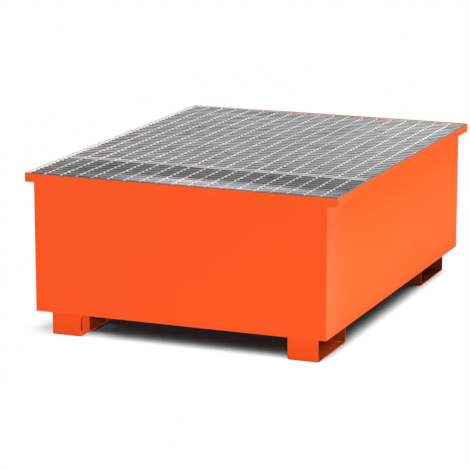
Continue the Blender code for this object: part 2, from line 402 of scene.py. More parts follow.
TURNED_IN = (-0.30, -0.40)
TOP_FACE = (0.3, 0.7)
INNER_SCUFF = 2.4
FULL_SCUFF = RIM_TOP - 0.0005
SCUFF_GRAIN = (17.0, 3.0, 0.6)
SCUFF_PATCHES = (0.30, 0.62)
SCUFF_SHARE = (0.86, 1.0)
LEFT_RIM = (cad_box[0].x + 0.02, cad_box[0].x + 0.01)
REAR_RIM = (cad_box[1].y - 0.02, cad_box[1].y - 0.01)
RUBBED_STRETCH = (-0.40, 0.0)
PRIMER_BAND = (RIM_TOP - 0.016, RIM_TOP - 0.008)


def make_scuffed_rim_group():
    """Mask of the rim's top edge, scuffed by gratings and drums: 1 at the very top, broken up along the rim.

    Primer marks the left rim and the left stretch of the rear one, where the scuffs go down to the primer.
    Rubbed marks the rest of the rear rim, where the paint is only rubbed.
    """
    tree, given, put = new_mask_group("scuffed_rim", ("Mask", "Primer", "Rubbed"), Depth=0.006, Amount=1.0)
    place = place_on_piece(tree)
    spot = axes(tree, place)
    facing = face_normal(tree)
    outward = vector_node(tree, "DOT_PRODUCT", facing, place)
    depth = multiply(tree, given["Depth"], spread(tree, outward, TURNED_IN, (1.0, INNER_SCUFF)))
    band = spread(tree, spot["Z"], (math_node(tree, "SUBTRACT", RIM_TOP, depth), FULL_SCUFF))
    patches = spread(tree, noise(tree, place, *SCUFF_GRAIN), SCUFF_PATCHES, SCUFF_SHARE)
    rear = spread(tree, spot["Y"], REAR_RIM)
    rubbed = multiply(tree, rear, spread(tree, spot["X"], RUBBED_STRETCH, smooth=True))
    rear_left = math_node(tree, "SUBTRACT", rear, rubbed, clamp=True)
    left = larger(tree, spread(tree, spot["X"], LEFT_RIM), rear_left)
    inside = larger(tree, spread(tree, outward, TURNED_IN), spread(tree, axes(tree, facing)["Z"], TOP_FACE))
    primer = multiply(tree, inside, left)
    bared = multiply(tree, spread(tree, spot["Z"], PRIMER_BAND), primer)
    worn = larger(tree, multiply(tree, band, patches), bared)
    return put_out(tree, put, Mask=multiply(tree, worn, given["Amount"]), Primer=primer, Rubbed=rubbed)


FOLD_MIDDLE = RIM_TOP - RIM_HEIGHT + BEND_RADIUS / 2
FOLD_LINE = (0.0012, 0.0042)
FOLD_SIDE = (cad_box[1].x - 0.006, cad_box[1].x - 0.002)
FOLD_GRAIN = (6.0, 3.0, 0.6)
FOLD_PATCHES = (0.34, 0.60)
FOLD_SHARE = (0.45, 1.0)


def make_rim_fold_highlight_group():
    """Mask of a painted highlight along the fold under the rim: 1 on the fold, 0 on flat sheet."""
    tree, given, put = new_mask_group("rim_fold_highlight", Amount=1.0)
    place = place_on_piece(tree)
    spot = axes(tree, place)
    off = math_node(tree, "ABSOLUTE", math_node(tree, "SUBTRACT", spot["Z"], FOLD_MIDDLE))
    line = spread(tree, off, FOLD_LINE, FALLING, smooth=True)
    outer = spread(tree, math_node(tree, "ABSOLUTE", spot["X"]), FOLD_SIDE)
    patches = spread(tree, noise(tree, place, *FOLD_GRAIN), FOLD_PATCHES, FOLD_SHARE)
    return put_out(tree, put, Mask=multiply(tree, line, outer, patches, given["Amount"]))


UPPER_WALL = (RIM_TOP - 0.288, RIM_TOP - 0.048)


def make_upper_wall_shade_group():
    """Mask of painted shade on the wall's upper part, a deeper orange: 0 half way up, 1 under the rim."""
    tree, given, put = new_mask_group("upper_wall_shade", Amount=1.0)
    rise = spread(tree, axes(tree, place_on_piece(tree))["Z"], UPPER_WALL, smooth=True)
    return put_out(tree, put, Mask=multiply(tree, rise, given["Amount"]))


SEAM_STRIP = (PLATE_LOW.y + 0.02, PLATE_LOW.y + 0.26)


def make_front_seam_highlight_group():
    """Mask of a painted highlight on the strip beside the front corner seam: 1 at the seam."""
    tree, given, put = new_mask_group("front_seam_highlight", Amount=1.0)
    strip = spread(tree, axes(tree, place_on_piece(tree))["Y"], SEAM_STRIP, FALLING, smooth=True)
    return put_out(tree, put, Mask=multiply(tree, strip, given["Amount"]))


TONE = (0.3, 0.7)
DRIFT_SCALE = 2.3
SPECK_SCALE = 310.0
SPECK_SIZE = (0.05, 0.11)
SPECK_SHARE = (0.16, 0.0)
SPECK_FIELD_GRAIN = (38.0, 1.0)
SPECK_FIELDS = (0.55, 0.70)
DUST_GRAIN = (9.0, 3.0)
DUST_ROUGHNESS = (-0.05, 0.07)
PEEL_GRAIN, PEEL_HEIGHT = (420.0, 1.5), 0.09
WAVE_GRAIN, WAVE_HEIGHT = (7.0, 1.0), 0.9


def make_powder_coat_group():
    """Baked powder coat: slow drift of tone, fine orange peel, a few specks and a breath of dust."""
    tree, given, put = new_group(
        "powder_coat_skin",
        [("Paint", COLOUR, ORANGE), ("Drift", FLOAT, 0.04), ("Sheen Roughness", FLOAT, 0.36)],
        [("Colour", COLOUR), ("Roughness", FLOAT), ("Height", FLOAT)])
    place = place_on_piece(tree)
    swing = spread(tree, noise(tree, place, DRIFT_SCALE), TONE, SWINGING)
    toned = scale_colour(tree, given["Paint"], add(tree, 1.0, multiply(tree, swing, given["Drift"])))
    speck = spread(tree, cells(tree, place, SPECK_SCALE)["Distance"], SPECK_SIZE, SPECK_SHARE)
    speck = multiply(tree, speck, spread(tree, noise(tree, place, *SPECK_FIELD_GRAIN), SPECK_FIELDS))
    dust = spread(tree, noise(tree, place, *DUST_GRAIN), TONE, DUST_ROUGHNESS)
    peel = multiply(tree, noise(tree, place, *PEEL_GRAIN), PEEL_HEIGHT)
    wave = multiply(tree, noise(tree, place, *WAVE_GRAIN), WAVE_HEIGHT)
    return put_out(tree, put, Colour=blend_colours(tree, speck, toned, SPECK_PAINT),
                   Roughness=add(tree, given["Sheen Roughness"], dust), Height=add(tree, peel, wave))


# Shader groups of the zinc

STREAK_GRAIN = (60.0, 3.0, 0.55)
CRYSTAL_SWING = (-0.5, 0.5)
MATT_STREAKS = (0.35, 0.65)
MATT_ROUGHNESS = (0.36, 0.56)
CRYSTAL_GLINT = -0.10
ZINC_GRAIN, ZINC_GRAIN_HEIGHT = (900.0, 2.0), 0.3
STREAK_HEIGHT = 0.7


def make_zinc_group():
    """Hot-dip zinc: crystal spangle, streaks that run along each bar, a painted highlight patch and a small
    grain.
    """
    tree, given, put = new_group(
        "hot_dip_zinc",
        [("Zinc", COLOUR, REAR_BAR_ZINC), ("Patch Highlight Zinc", COLOUR, PATCH_HIGHLIGHT_ZINC), ("Patch Highlight", FLOAT, 0.0),
         ("Contrast", FLOAT, 0.2), ("Spangle Scale", FLOAT, 170.0), ("Along Bar", VECTOR, ALONG_X)],
        [("Colour", COLOUR), ("Roughness", FLOAT), ("Height", FLOAT)])
    place = place_on_piece(tree)
    streaks = noise(tree, vector_node(tree, "MULTIPLY", place, given["Along Bar"]), *STREAK_GRAIN)
    crystal = cells(tree, place, given["Spangle Scale"])["Color"]
    crystal = node(tree, "SeparateColor", None, Color=crystal).outputs[0]
    swing = add(tree, spread(tree, streaks, TONE, SWINGING), spread(tree, crystal, RISING, CRYSTAL_SWING))
    gain = add(tree, 1.0, multiply(tree, swing, given["Contrast"]))
    zinc = blend_colours(tree, given["Patch Highlight"], given["Zinc"], given["Patch Highlight Zinc"])
    matt = spread(tree, streaks, MATT_STREAKS, MATT_ROUGHNESS)
    glint = multiply(tree, crystal, CRYSTAL_GLINT)
    grain = multiply(tree, noise(tree, place, *ZINC_GRAIN), ZINC_GRAIN_HEIGHT)
    return put_out(tree, put, Colour=scale_colour(tree, zinc, gain), Roughness=add(tree, matt, glint),
                   Height=add(tree, grain, multiply(tree, streaks, STREAK_HEIGHT)))


# Where the painted highlight patch rises, where it falls, and its levels before and after the fall
PATCH_HIGHLIGHT_ACROSS = ((-0.48, 0.08), (0.22, 0.60), (1.0, 0.40))
PATCH_HIGHLIGHT_BEHIND_EDGE = ((PLATE_LOW.y + 0.01, PLATE_LOW.y + 0.04),
                     (PLATE_LOW.y + 0.12, PLATE_LOW.y + 0.17), FALLING)
PATCH_HIGHLIGHT_LEFT_END = (cad_box[0].x + 0.03, cad_box[0].x + 0.20)
PATCH_HIGHLIGHT_LEFT_SHARE = (0.18, 0.0)


def make_front_highlight_patch_group():
    """Mask of a painted highlight on the zinc behind the front edge, soft towards both ends, and of the left
    end.
    """
    tree, given, put = new_mask_group("front_highlight_patch", Strength=1.0)
    place = axes(tree, place_on_piece(tree))
    mask = given["Strength"]
    for axis, (starts, fades, levels) in (("X", PATCH_HIGHLIGHT_ACROSS), ("Y", PATCH_HIGHLIGHT_BEHIND_EDGE)):
        rise = spread(tree, place[axis], starts, smooth=True)
        fall = spread(tree, place[axis], fades, levels, smooth=True)
        mask = multiply(tree, mask, multiply(tree, rise, fall))
    left_end = spread(tree, place["X"], PATCH_HIGHLIGHT_LEFT_END, PATCH_HIGHLIGHT_LEFT_SHARE, smooth=True)
    return put_out(tree, put, Mask=larger(tree, mask, left_end))


BAR_TOP_TURN = (0.55, 0.85)
LIP_DEPTH = 0.0026
LIP_BAND = (BAR_TOP - LIP_DEPTH, BAR_TOP - 0.4 * LIP_DEPTH)
TRODDEN_GRAIN = (14.0, 3.0, 0.6)
TRODDEN_PATCHES = (0.32, 0.62)
TRODDEN_SHARE = (0.55, 1.0)
WALKED_STRIP = (JOINT_Y + 0.02, JOINT_Y + 0.18)
WALKED_SHARE = (0.78, 1.0)


def make_trodden_and_highlit_top_group():
    """Mask of bar tops and lips, broken up along the bar: 1 where worn bright by feet and drums, and painted
    highlight on both.

    It is weaker in front of the joint between the gratings and just behind it.
    """
    tree, given, put = new_mask_group("trodden_and_highlit_top", Amount=1.0, Lip=0.5)
    upward = spread(tree, axes(tree, face_normal(tree))["Z"], BAR_TOP_TURN, smooth=True)
    place = place_on_piece(tree)
    spot = axes(tree, place)
    lip_highlight = multiply(tree, spread(tree, spot["Z"], LIP_BAND, smooth=True), given["Lip"])
    patches = spread(tree, noise(tree, place, *TRODDEN_GRAIN), TRODDEN_PATCHES, TRODDEN_SHARE)
    walked = spread(tree, spot["Y"], WALKED_STRIP, WALKED_SHARE, smooth=True)
    top_wear_and_highlight = multiply(tree, larger(tree, upward, lip_highlight), multiply(tree, patches, walked), given["Amount"])
    return put_out(tree, put, Mask=top_wear_and_highlight)


edge_rub = make_edge_rub_group()
pocket_shade = make_pocket_shade_group()
shelter_shade = make_shelter_shade_group()
scuffed_rim = make_scuffed_rim_group()
rim_fold_highlight = make_rim_fold_highlight_group()
upper_wall_shade = make_upper_wall_shade_group()
front_seam_highlight = make_front_seam_highlight_group()
powder_coat_skin = make_powder_coat_group()
hot_dip_zinc = make_zinc_group()
front_highlight_patch = make_front_highlight_patch_group()
trodden_and_highlit_top = make_trodden_and_highlit_top_group()


# Paint and zinc

PAINT_SHEEN = 0.48
PAINT_GLOSS = 0.008
PAINT_DRIFT = 0.012
PAINT_RUB = 0.35
RUB_REACH = 0.0016
UNDER_REACH = 0.30
# Strength of the painted highlight along the rim fold
FOLD_HIGHLIGHT = 0.45
PAINT_BUMP = {"Strength": 0.35, "Distance": 0.0012}
PLATE_SCUFF, WALL_SCUFF = 0.0065, 0.0095
ZINC_GLOSS = 0.5
ZINC_BUMP = {"Strength": 0.3, "Distance": 0.0006}
BAR_SPANGLE, CROSS_SPANGLE, BAND_SPANGLE = 170.0, 210.0, 150.0


def place_group(tree, group, **inputs):
    made = tree.nodes.new("ShaderNodeGroup")
    made.node_tree = group
    for key, value in inputs.items():
        made.inputs[key.replace("_", " ")].default_value = value
    return made


def finish_coat(name, build_colour, skin_group, skin_values, bump_values, **constants):
    """A material whose skin comes from one group, with the marks that build_colour lays over its colour."""
    material = bpy.data.materials.new(name)
    material.use_nodes = True
    tree = material.node_tree
    shader = tree.nodes["Principled BSDF"]
    skin = place_group(tree, skin_group, **skin_values)
    tree.links.new(build_colour(tree, skin), shader.inputs["Base Color"])
    tree.links.new(skin.outputs["Roughness"], shader.inputs["Roughness"])
    bump = node(tree, "Bump", None, Height=skin.outputs["Height"], **bump_values)
    tree.links.new(bump.outputs[0], shader.inputs["Normal"])
    for key, value in constants.items():
        shader.inputs[key.replace("_", " ")].default_value = value
    return material


def make_orange_coat(name, paint, drift=PAINT_DRIFT, rub=PAINT_RUB,
                     pocket_shade_level=0.0, shelter_shade_level=0.0, seam=0.0, scuff=0.0):
    """Powder coat with rubbed edges.

    The three levels after rub give painted shade inside a foot, painted shade far under the sump, and a
    painted highlight beside a side wall's front seam with painted shade on its upper part and a painted
    highlight on its fold; scuff is how far the rim's scuffs go down.
    """
    def build_colour(tree, skin):
        rubbed = place_group(tree, edge_rub, Reach=RUB_REACH, Amount=rub)
        colour = blend_colours(tree, rubbed.outputs["Mask"], skin.outputs["Colour"], RUB_AND_HIGHLIGHT_ORANGE)
        # Painted highlight on the sole at a right foot's mouth, and painted shade inside the foot
        if pocket_shade_level:
            inside = place_group(tree, pocket_shade, Reach=UNDER_REACH, Amount=pocket_shade_level)
            colour = blend_colours(tree, inside.outputs["Sole"], colour, SOLE_HIGHLIGHT_PAINT)
            colour = blend_colours(tree, inside.outputs["Mask"], colour, POCKET_SHADE_PAINT)
        # Painted shade on what lies far under the sump
        if shelter_shade_level:
            under = place_group(tree, shelter_shade, Reach=UNDER_REACH, Amount=shelter_shade_level)
            colour = blend_colours(tree, under.outputs["Mask"], colour, SHELTER_SHADE_PAINT)
        # Painted shade on the upper wall, painted highlight beside the front seam and along the rim fold
        if seam:
            for group, amount, mark in ((upper_wall_shade, 1.0, UPPER_SHADE_PAINT), (front_seam_highlight, seam, SEAM_HIGHLIGHT_PAINT),
                                        (rim_fold_highlight, FOLD_HIGHLIGHT, RUB_AND_HIGHLIGHT_ORANGE)):
                marked = place_group(tree, group, Amount=amount)
                colour = blend_colours(tree, marked.outputs["Mask"], colour, mark)
        if scuff:
            edge = place_group(tree, scuffed_rim, Depth=scuff)
            worn = blend_colours(tree, edge.outputs["Primer"], SCUFFED_PAINT, RIM_PRIMER)
            worn = blend_colours(tree, edge.outputs["Rubbed"], worn, RUBBED_RIM)
            colour = blend_colours(tree, edge.outputs["Mask"], colour, worn)
        return colour

    skin_values = {"Paint": paint, "Drift": drift, "Sheen_Roughness": PAINT_SHEEN}
    return finish_coat(name, build_colour, powder_coat_skin, skin_values, PAINT_BUMP,
                       Specular_IOR_Level=PAINT_GLOSS)


def make_zinc_coat(name, zinc, spangle, along_bar, contrast, metal=0.0, gloss=ZINC_GLOSS, patch_highlight=0.0,
                   top_wear_and_highlight=0.0, lip_highlight=0.0, top_wear_and_highlight_zinc=TOP_WEAR_AND_HIGHLIGHT_ZINC):
    """Zinc; the three levels after gloss add a painted highlight patch at the front, bar tops worn bright
    with a painted highlight, and a painted highlight on their lips.
    """
    def build_colour(tree, skin):
        if patch_highlight:
            patch = place_group(tree, front_highlight_patch, Strength=patch_highlight)
            tree.links.new(patch.outputs["Mask"], skin.inputs["Patch Highlight"])
        if not top_wear_and_highlight:
            return skin.outputs["Colour"]
        top = place_group(tree, trodden_and_highlit_top, Amount=top_wear_and_highlight, Lip=lip_highlight)
        return blend_colours(tree, top.outputs["Mask"], skin.outputs["Colour"], top_wear_and_highlight_zinc)

    skin_values = {"Zinc": zinc, "Contrast": contrast, "Spangle_Scale": spangle, "Along_Bar": along_bar}
    return finish_coat(name, build_colour, hot_dip_zinc, skin_values, ZINC_BUMP,
                       Metallic=metal, Specular_IOR_Level=gloss)


orange_coat = make_orange_coat("orange_powder_coat", ORANGE, scuff=PLATE_SCUFF)
# Walls: painted shade on the upper part, painted highlight by the front seam and on the rim fold
orange_wall = make_orange_coat("orange_coat_on_walls", ORANGE, seam=0.8, scuff=WALL_SCUFF)
# Feet: painted shade inside, for the rear feet far under the sump too, and a painted highlight on soles at
# the mouth
orange_feet = {
    "front": make_orange_coat("orange_coat_on_front_feet", FEET_ORANGE, pocket_shade_level=0.95),
    "rear": make_orange_coat("orange_coat_on_rear_feet", FEET_ORANGE, pocket_shade_level=0.95, shelter_shade_level=0.9)}
orange_weld = make_orange_coat("orange_coat_on_weld", WELD_ORANGE, drift=0.05, rub=0.2)
# Bearing bars: tops worn bright with a painted highlight, and the front panel's painted highlight patch
zinc_bearing = {
    "front_grating": make_zinc_coat("dull_zinc_front_bars", FRONT_BAR_ZINC, BAR_SPANGLE, ALONG_X,
                                    contrast=0.28, metal=0.5, patch_highlight=1.0, top_wear_and_highlight=0.75, lip_highlight=0.10),
    "rear_grating": make_zinc_coat("dull_zinc_rear_bars", REAR_BAR_ZINC, BAR_SPANGLE, ALONG_X,
                                   contrast=0.26, metal=0.5, top_wear_and_highlight=0.95, lip_highlight=0.85)}
# Painted highlight on the first bars of the rear panel
zinc_end_bar_highlight = make_zinc_coat("highlit_zinc_end_bars", END_BAR_HIGHLIGHT_ZINC, BAR_SPANGLE, ALONG_X, contrast=0.10,
                            metal=0.2, top_wear_and_highlight=1.28, lip_highlight=1.0, top_wear_and_highlight_zinc=END_BAR_TOP_HIGHLIGHT_ZINC)
# Painted highlight on the cross bars
zinc_cross_highlight = make_zinc_coat("highlit_zinc_cross_bars", CROSS_BAR_HIGHLIGHT_ZINC, CROSS_SPANGLE, ALONG_Y,
                            contrast=0.08, metal=0.2)
# Painted highlight on the left bands, painted shade on the right bands
zinc_bands = {
    "left": make_zinc_coat("highlit_zinc_left_bands", LEFT_BAND_HIGHLIGHT_ZINC, BAND_SPANGLE, ALONG_Y, contrast=0.06),
    "right": make_zinc_coat("shaded_zinc_right_bands", RIGHT_BAND_SHADE_ZINC, BAND_SPANGLE, ALONG_Y,
                            contrast=0.15, gloss=0.05)}


# Mesh tools

def add_piece(name, bm, body, material, replaces=()):
    mesh = bpy.data.meshes.new(name)
    bmesh.ops.recalc_face_normals(bm, faces=bm.faces)
    bm.to_mesh(mesh)
    bm.free()
    mesh.polygons.foreach_set("use_smooth", [True] * len(mesh.polygons))
    mesh.materials.append(material)
    piece = bpy.data.objects.new(name, mesh)
    bpy.context.scene.collection.objects.link(piece)
    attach(piece, body)
    if replaces:
        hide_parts(*replaces)
    return piece


def add_modifier(piece, kind, name, **settings):
    modifier = piece.modifiers.new(name, kind)
    for key, value in settings.items():
        setattr(modifier, key, value)


def shade_evenly(piece):
    add_modifier(piece, "WEIGHTED_NORMAL", "even_shading", keep_sharp=True)


def add_sheet(name, bm, coat, replaces, thickness=SHEET, bends=False):
    """Adds an open surface as a painted sheet of the sump, with round bends and rounded cut edges."""
    piece = add_piece(name, bm, "sump", coat, replaces)
    if bends:
        add_modifier(piece, "BEVEL", "round_bends", width=BEND_RADIUS, segments=BEND_STEPS,
                     limit_method="ANGLE", angle_limit=BEND_ANGLE, use_clamp_overlap=True)
    add_modifier(piece, "SOLIDIFY", "sheet", thickness=thickness, offset=0.0, use_even_offset=True)
    add_modifier(piece, "BEVEL", "rounded_cut", width=ROUNDED_EDGE, segments=ROUNDED_EDGE_STEPS,
                 limit_method="ANGLE", angle_limit=CUT_ANGLE)
    shade_evenly(piece)


def add_zinc_piece(name, bm, panel, coat, replaces=()):
    shade_evenly(add_piece(name, bm, panel, coat, replaces))


def add_strip(bm, line, start, end):
    """Adds an open surface that follows line from the offset start to the offset end."""
    near = [bm.verts.new(Vector(p) + Vector(start)) for p in line]
    far = [bm.verts.new(Vector(p) + Vector(end)) for p in line]
    for i in range(len(line) - 1):
        bm.faces.new((near[i], near[i + 1], far[i + 1], far[i]))


def rounded_outline(corners):
    """Corner points (u, v, radius) in order, each corner turned into an arc of its radius."""
    points = []
    count = len(corners)
    for i, (u, v, radius) in enumerate(corners):
        here = Vector((u, v))
        before = (Vector(corners[i - 1][:2]) - here).normalized()
        after = (Vector(corners[(i + 1) % count][:2]) - here).normalized()
        half = before.angle(after) / 2
        reach = radius / math.tan(half)
        centre = here + (before + after).normalized() * (radius / math.sin(half))
        first = here + before * reach - centre
        last = here + after * reach - centre
        turn = first.angle_signed(last)
        for step in range(ARC_STEPS + 1):
            points.append(centre + Matrix.Rotation(-turn * step / ARC_STEPS, 2) @ first)
    return points


def add_rounded_box(bm, low, high, rounding=BAR_ROUNDING, steps=1):
    low, high = Vector(low), Vector(high)
    size = high - low
    made = bmesh.ops.create_cube(bm, size=1.0)["verts"]
    for vert in made:
        vert.co = Vector(low[k] + (vert.co[k] + 0.5) * size[k] for k in range(3))
    edges = {edge for vert in made for edge in vert.link_edges}
    bmesh.ops.bevel(bm, geom=list(edges), offset=rounding, segments=steps, affect="EDGES", profile=0.5)


# Sump

def make_side_wall(name, side):
    low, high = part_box(name)
    inner = low.x if side > 0 else high.x
    outer = high.x if side > 0 else low.x
    wall_x = inner + side * SHEET / 2
    rim_x = outer - side * SHEET / 2
    ledge_z = high.z - RIM_HEIGHT + SHEET / 2
    bm = bmesh.new()
    line = [(wall_x, 0.0, low.z), (wall_x, 0.0, ledge_z), (rim_x, 0.0, ledge_z), (rim_x, 0.0, high.z)]
    add_strip(bm, line, (0.0, low.y, 0.0), (0.0, high.y, 0.0))
    add_sheet("painted_" + name, bm, orange_wall, [name], bends=True)


def make_end_plate(name, wall_x):
    """Flat plate out to wall_x on both sides, with ears at the top that close the ends of the side rims."""
    low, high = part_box(name)
    ear_z = high.z - RIM_HEIGHT
    right = [(wall_x, low.z, PLATE_CORNER), (wall_x, ear_z, EAR_NOTCH),
             (high.x, ear_z, EAR_CORNER), (high.x, high.z, EAR_CORNER)]
    left = [(-x, z, radius) for x, z, radius in right[::-1]]
    middle = (low.y + high.y) / 2
    bm = bmesh.new()
    bm.faces.new([bm.verts.new((u, middle, v)) for u, v in rounded_outline(right + left)])
    add_sheet("painted_" + name, bm, orange_coat, [name])


def make_sump_floor():
    low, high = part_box("sump_floor")
    middle = (low + high) / 2
    bm = bmesh.new()
    bmesh.ops.create_grid(bm, x_segments=SUMP_FLOOR_GRID[0], y_segments=SUMP_FLOOR_GRID[1], size=0.5)
    for vert in bm.verts:
        vert.co = (middle.x + vert.co.x * (high.x - low.x), middle.y + vert.co.y * (high.y - low.y), middle.z)
    add_sheet("painted_sump_floor", bm, orange_coat, ["sump_floor"])


# Feet

def make_foot(name, side, coat):
    """Folded from one blank: bottom, front and rear plates, and two flaps on the inner side.

    A gap parts each flap from its plate, down to a closed lower corner. On the flap's other side, a relief
    notch in the bottom lets it fold.
    """
    low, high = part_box(name)
    outer = high.x if side > 0 else low.x
    inner = low.x + SHEET / 2 if side > 0 else high.x - SHEET / 2
    notch = inner + side * RELIEF_DEPTH
    base = low.z + SHEET / 2
    corner_z = base + CLOSED_CORNER
    first = low.y + SHEET / 2
    last = high.y - SHEET / 2
    relief = SHEET / 2 + FLAP_RELIEF
    from_end = (0.0, relief, relief + FLAP_LENGTH, 2 * relief + FLAP_LENGTH)
    rows = [first + away for away in from_end] + [last - away for away in from_end[::-1]]
    strips_without_notch = (0, 1, 3, 5, 6)
    rows_of_ends = ((0, 1, 2), (7, 6, 5))
    bm = bmesh.new()
    near, seam, edge = ([bm.verts.new((x, y, base)) for y in rows] for x in (outer, notch, inner))
    for i in range(len(rows) - 1):
        bm.faces.new((near[i], near[i + 1], seam[i + 1], seam[i]))
    for i in strips_without_notch:
        bm.faces.new((seam[i], seam[i + 1], edge[i + 1], edge[i]))
    for end, inside, flap in rows_of_ends:
        top_near, top_seam, top_edge = (bm.verts.new((x, rows[end], high.z))
                                        for x in (outer, notch, inner - side * SHEET / 2))
        low_edge, low_seam, low_near = (bm.verts.new((x, rows[end], corner_z)) for x in (inner, notch, outer))
        bm.faces.new((near[end], seam[end], low_seam, low_near))
        bm.faces.new((seam[end], edge[end], low_edge, low_seam))
        bm.faces.new((low_near, low_seam, top_seam, top_near))
        bm.faces.new((low_seam, low_edge, top_edge, top_seam))
        flap_low = bm.verts.new((inner, rows[inside], corner_z))
        bm.faces.new((edge[end], edge[inside], flap_low, low_edge))
        cut = FLAP_CORNER if flap > inside else -FLAP_CORNER
        flap_top = [bm.verts.new((inner, y, z)) for y, z in (
            (rows[inside], high.z - FLAP_CORNER), (rows[inside] + cut, high.z),
            (rows[flap] - cut, high.z), (rows[flap], high.z - FLAP_CORNER))]
        bm.faces.new([edge[inside], flap_low] + flap_top + [edge[flap]])
    add_sheet("folded_" + name, bm, coat, [name], bends=True)


# Weld beads

def make_bead(name, seat, run, first, second, leg, replaces=()):
    """A rippled fillet bead along run from seat, between the faces that first and second point along."""
    seat, run, first, second = Vector(seat), Vector(run), Vector(first), Vector(second)
    length = run.length
    rings = max(BEAD_LEAST_RINGS, round(length / BEAD_RIPPLE_PITCH * BEAD_RINGS_PER_RIPPLE))
    bm = bmesh.new()
    previous = None
    drift = rng.uniform(0.0, BEAD_DRIFT)
    for ring in range(rings + 1):
        s = length * ring / rings
        here = seat + run / length * s
        fade = min(1.0, (min(s, length - s) + BEAD_STUB) / BEAD_END) ** 0.5
        width = BEAD_WIDTH
        for sway, turns, shift in BEAD_WAVES:
            width += sway * math.sin(s * turns + shift * drift)
        verts = [bm.verts.new(here)]
        for step in range(BEAD_ARC_STEPS + 1):
            t = step / BEAD_ARC_STEPS
            angle = t * math.pi / 2
            across = first * math.cos(angle) + second * math.sin(angle)
            chord = 1.0 / (math.cos(angle) + math.sin(angle))
            crown = math.sin(t * math.pi)
            phase = (s + BEAD_RIPPLE_BOW * crown) / BEAD_RIPPLE_PITCH
            ripple = BEAD_RIPPLE_DEPTH * crown * (0.5 + 0.5 * math.cos(2 * math.pi * phase))
            profile = BEAD_FLATNESS * chord + 1.0 - BEAD_FLATNESS - ripple
            verts.append(bm.verts.new(here + across * (leg * width * fade * profile)))
        if previous:
            count = len(verts)
            for k in range(count):
                bm.faces.new((previous[k], previous[(k + 1) % count], verts[(k + 1) % count], verts[k]))
        else:
            bm.faces.new(verts)
        previous = verts
    bm.faces.new(previous[::-1])
    add_piece(name, bm, "sump", orange_weld, replaces)


def make_sump_beads():
    for name, side in (("front", -1), ("rear", 1)):
        low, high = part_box("floor_weld_" + name)
        seat = (low.x, low.y if side < 0 else high.y, low.z)
        make_bead("bead_floor_" + name, seat, (high.x - low.x, 0, 0), (0, -side, 0), (0, 0, 1),
                  high.z - low.z, ["floor_weld_" + name])
    for name, side in (("left", -1), ("right", 1)):
        low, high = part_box("floor_weld_" + name)
        seat = (low.x if side < 0 else high.x, low.y, low.z)
        make_bead("bead_floor_" + name, seat, (0, high.y - low.y, 0), (-side, 0, 0), (0, 0, 1),
                  high.z - low.z, ["floor_weld_" + name])
    for end, side_y in (("front", -1), ("rear", 1)):
        for hand, side_x in (("left", -1), ("right", 1)):
            corner = end + "_" + hand
            low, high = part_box("corner_weld_" + corner)
            seat = (low.x if side_x < 0 else high.x, low.y if side_y < 0 else high.y, low.z)
            make_bead("bead_corner_" + corner, seat, (0, 0, high.z - low.z),
                      (-side_x, 0, 0), (0, -side_y, 0), high.x - low.x, ["corner_weld_" + corner])


def make_foot_beads(name):
    """Short beads under the sump along the front and rear plates of a foot."""
    low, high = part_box(name)
    for end, y, side in (("front", low.y, -1), ("rear", high.y, 1)):
        seat = (low.x + FOOT_BEAD_INSET, y, high.z)
        make_bead("bead_" + name + "_" + end, seat, (high.x - low.x - 2 * FOOT_BEAD_INSET, 0, 0),
                  (0, side, 0), (0, 0, -1), FOOT_BEAD_LEG)


# Beam under the gratings

def make_beam():
    low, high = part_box("support_beam")
    x = high.x - SHEET / 2
    top = high.z - SHEET / 2
    bm = bmesh.new()
    add_strip(bm, [(-x, 0, low.z), (-x, 0, top), (x, 0, top), (x, 0, low.z)], (0, low.y, 0), (0, high.y, 0))
    add_sheet("folded_support_beam", bm, orange_coat, ["support_beam"], bends=True)


def make_bracket(name, side):
    low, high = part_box(name)
    back = high.y - SHEET / 2 if side > 0 else low.y + SHEET / 2
    tip = low.y if side > 0 else high.y
    top = high.z - SHEET / 2
    bm = bmesh.new()
    add_strip(bm, [(0, tip, top), (0, back, top), (0, back, low.z)], (low.x, 0, 0), (high.x, 0, 0))
    add_sheet("folded_" + name, bm, orange_coat, [name], bends=True)


def make_leg(name):
    low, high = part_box(name)
    half = (high.x - low.x) / 2 - SHEET / 2
    middle = (low.y + high.y) / 2
    corners = ((half, half), (-half, half), (-half, -half), (half, -half))
    outline = rounded_outline([(u, v, LEG_CORNER) for u, v in corners])
    bm = bmesh.new()
    foot, head = ([bm.verts.new((u, middle + v, z)) for u, v in outline] for z in (low.z, high.z))
    for k in range(len(outline)):
        n = (k + 1) % len(outline)
        bm.faces.new((foot[k], foot[n], head[n], head[k]))
    add_sheet("square_tube_" + name, bm, orange_coat, [name])


def make_pad(name):
    low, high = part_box(name)
    middle = (low.z + high.z) / 2
    corners = ((low.x, low.y), (high.x, low.y), (high.x, high.y), (low.x, high.y))
    outline = rounded_outline([(u, v, PAD_CORNER) for u, v in corners])
    bm = bmesh.new()
    bm.faces.new([bm.verts.new((u, v, middle)) for u, v in outline])
    add_sheet("plate_" + name, bm, orange_coat, [name], thickness=high.z - low.z)


# Gratings

def even_places(first, last, pitch):
    """Places from first to last in even steps of about one pitch."""
    gaps = round((last - first) / pitch)
    return [first + (last - first) / gaps * i for i in range(gaps + 1)]


